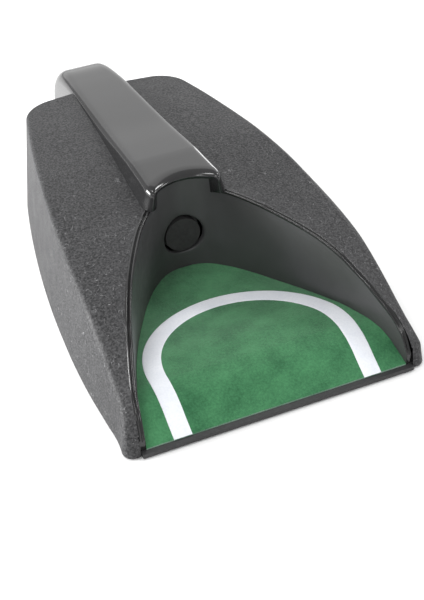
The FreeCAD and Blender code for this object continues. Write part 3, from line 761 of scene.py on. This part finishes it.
def spring_patch():
    """Round wire wound round the rod, with closer turns at both ends, and the y of its fixed end."""
    low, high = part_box("kick_spring")
    first, last = low[1] / MM - FRONT_Y, high[1] / MM - FRONT_Y
    coil, wire, turns, closing = 5.2, 0.6, 9.0, 0.055
    share = np.linspace(0.0, 1.0, 720)
    advance = share + closing * np.sin(2 * math.pi * share) * -1.0
    angle = 2 * math.pi * turns * share
    y = first + wire + (last - first - 2 * wire) * advance
    rows = []
    for a in np.linspace(0.0, 2 * math.pi, 13):
        radius = coil + wire * math.cos(a)
        height = WINDOW_Z + radius * np.sin(angle)
        rows.append(np.stack([radius * np.cos(angle), y + wire * math.sin(a), height], axis=1))
    return (np.array(rows), False, 0), last


# ------------------------------------------------------------------ the object


def shell_pieces():
    """The textured shell over both wings, and the gloss moulding of hood, arch and mouth."""
    housing = build("housing_cover", both_sides(housing_patches()), [grain_with_painted_highlights()])
    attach(housing, HOUSING)
    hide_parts("wing_shell")
    gloss = gloss_plastic("gloss_black_plastic", 0.013, 0.1, 0.15, 0.04)
    # Painted sheen: the mouth wall's tone of 0.046 is lighter than the gloss's 0.013 on the same moulding. It
    # stands in for the soft sheen of light on the wall. Its higher roughness is the satin finish.
    satin_and_painted_sheen = gloss_plastic("satin_and_painted_sheen_plastic", 0.046, 0.36, 0.44, 0.15)
    hood = build("hood_and_mouth", [hood_patch()] + mouth_patches(), [gloss, satin_and_painted_sheen], sharp=50.0)
    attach(hood, HOUSING)
    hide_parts("hood_throat")


def felt_pieces():
    """The green felt sheet and the white band let into it."""
    green = felt_material("green_felt", (0.020, 0.115, 0.045), (0.065, 0.25, 0.105), 0.6)
    edge = felt_material("felt_cut_edge", (0.10, 0.26, 0.16), (0.34, 0.5, 0.4), 0.6)
    white = felt_material("white_felt", (0.76, 0.79, 0.85), (0.88, 0.90, 0.94), 0.4)
    felt = build("felt_sheet", felt_patches(thickness=1.1, inset=0.12, front=0.25), [green, edge])
    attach(felt, HOUSING)
    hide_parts("felt_green")
    line = build("arch_band", arch_line_patches(), [white])
    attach(line, HOUSING)
    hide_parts("arch_line")
    felt_area()


def spring_piece():
    """The kicker's coil spring, built at one length and fixed to the housing; the real spring shortens as the
    kicker goes back.
    """
    patch, fixed_end = spring_patch()
    wire = metal("spring_wire", (0.42, 0.42, 0.44), 0.3, 0.42, (1.0, 1.0, 1.0))
    spring = build("coil_spring", [patch], [wire], merge=0.001)
    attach(spring, HOUSING)
    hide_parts("kick_spring")
    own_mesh(spring)


def felt_area():
    """Area in square metres of the felt laid flat."""
    y = np.linspace(0.0, 122.0, 400)
    slope = np.gradient(felt_z(y), y)
    width = 2 * mouth_x(y)
    cells = width * np.hypot(1.0, slope)
    return float(np.sum((cells[1:] + cells[:-1]) / 2 * np.diff(y))) * MM * MM


def repaint():
    """Materials of the CAD nodes that stay in view."""
    steel = metal("ground_steel", (0.6, 0.6, 0.61), 0.22, 0.36, (8.0, 0.4, 8.0))
    clip = metal("clip_steel", (0.42, 0.42, 0.44), 0.3, 0.42, (1.0, 1.0, 1.0))
    zinc = metal("zinc_plate", (0.62, 0.63, 0.66), 0.3, 0.5, (1.0, 1.0, 1.0))
    brass = metal("turned_brass", (0.72, 0.52, 0.22), 0.25, 0.4, (1.0, 9.0, 1.0))
    tray = plain_plastic("tray_plastic", (0.022, 0.022, 0.023), 0.4, 0.6, 0.2)
    acetal = plain_plastic("acetal", (0.05, 0.05, 0.05), 0.35, 0.5, 0.1)
    rubber = plain_plastic("rubber", (0.022, 0.022, 0.022), 0.7, 0.9, 0.5)
    backing = plain_plastic("backing_sheet", (0.55, 0.6, 0.6), 0.5, 0.7, 0.3)
    chosen = {
        "base_tray": tray, "felt_backing": backing,
        "kick_pad": rubber, "kick_head": acetal, "kick_rod": steel,
        "chassis": zinc, "front_bush": brass, "rear_bush": brass, "stop_washer": steel,
        "retaining_clip": clip, "chassis_screws": zinc, "base_screws": zinc, "hood_screws": zinc,
        "foot_front_left": rubber, "foot_front_right": rubber,
        "foot_rear_left": rubber, "foot_rear_right": rubber,
    }
    for node, material in chosen.items():
        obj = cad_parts[node]
        for index in range(max(1, len(obj.material_slots))):
            if index < len(obj.material_slots):
                obj.material_slots[index].material = material
            else:
                obj.data.materials.append(material)


# ------------------------------------------------------------------ stage, light and camera


def stage():
    """Plain pale floor and an even white surround."""
    mesh = bpy.data.meshes.new("floor")
    size = 4.0
    corners = [(-size, -size, 0), (size, -size, 0), (size, size, 0), (-size, size, 0)]
    mesh.from_pydata(corners, [], [(0, 1, 2, 3)])
    floor = bpy.data.objects.new("floor", mesh)
    bpy.context.scene.collection.objects.link(floor)
    material, tree, node = shader("pale_floor")
    node.inputs["Base Color"].default_value = (0.92, 0.92, 0.92, 1.0)
    node.inputs["Roughness"].default_value = 0.9
    node.inputs["Specular IOR Level"].default_value = 0.1
    mesh.materials.append(material)
    world = bpy.data.worlds.new("studio")
    world.use_nodes = True
    world.node_tree.nodes["Background"].inputs["Color"].default_value = (1.0, 1.0, 1.0, 1.0)
    world.node_tree.nodes["Background"].inputs["Strength"].default_value = 0.62
    bpy.context.scene.world = world
    bpy.context.scene.view_settings.view_transform = "Standard"


def softbox(name, place, aim, size, power):
    """Rectangular area light at a place, turned toward its aim."""
    data = bpy.data.lights.new(name, "AREA")
    data.shape = "RECTANGLE"
    data.size, data.size_y = size
    data.energy = power
    light = bpy.data.objects.new(name, data)
    light.location = place
    light.rotation_euler = (Vector(aim) - Vector(place)).to_track_quat("-Z", "Y").to_euler()
    bpy.context.scene.collection.objects.link(light)


def lights():
    """Large box behind, whose reflection lies on the hood, and small boxes for the edges and the left wall."""
    aim = (0.0, 0.0, 0.03)
    softbox("rear_box", (0.6, 1.55, 0.92), aim, (3.0, 1.85), 15.5)
    softbox("rear_right_strip", (0.95, 1.0, 0.2), aim, (0.5, 0.3), 2.0)
    softbox("left_box", (-0.95, 0.3, 0.26), (-0.06, 0.02, 0.03), (0.6, 0.3), 18.0)
    softbox("top_box", (-0.42, -0.12, 1.15), aim, (0.4, 0.22), 3.6)
    softbox("front_box", (-0.55, -1.0, 0.75), aim, (0.3, 0.3), 3.0)
    softbox("right_box", (0.9, 0.06, 0.83), aim, (0.3, 0.16), 3.0)
    softbox("right_low_box", (1.0, -0.48, 0.42), aim, (0.3, 0.16), 2.4)


def camera():
    """View from the front left, looking down, rolled a little."""
    yaw, pitch, roll = 0.3667, 0.6352, -0.0655
    place = (-0.203193, -0.445444 + FRONT_Y * MM, 0.430129)
    focal_length, sensor_height = 79.42488, 36.0
    ahead = Vector((math.sin(yaw) * math.cos(pitch), math.cos(yaw) * math.cos(pitch), -math.sin(pitch)))
    right = ahead.cross(Vector((0, 0, 1))).normalized()
    up = right.cross(ahead)
    turned_right = math.cos(roll) * right + math.sin(roll) * up
    turned_up = -math.sin(roll) * right + math.cos(roll) * up
    data = bpy.data.cameras.new("camera")
    data.sensor_fit = "VERTICAL"
    data.sensor_height = sensor_height
    data.lens = focal_length
    data.clip_start = 0.01
    cam = bpy.data.objects.new("camera", data)
    matrix = Matrix.Identity(4)
    for row in range(3):
        matrix[row][0] = turned_right[row]
        matrix[row][1] = turned_up[row]
        matrix[row][2] = -ahead[row]
        matrix[row][3] = place[row]
    cam.matrix_world = matrix
    bpy.context.scene.collection.objects.link(cam)
    bpy.context.scene.camera = cam


camera()
stage()
lights()
shell_pieces()
felt_pieces()
spring_piece()
repaint()
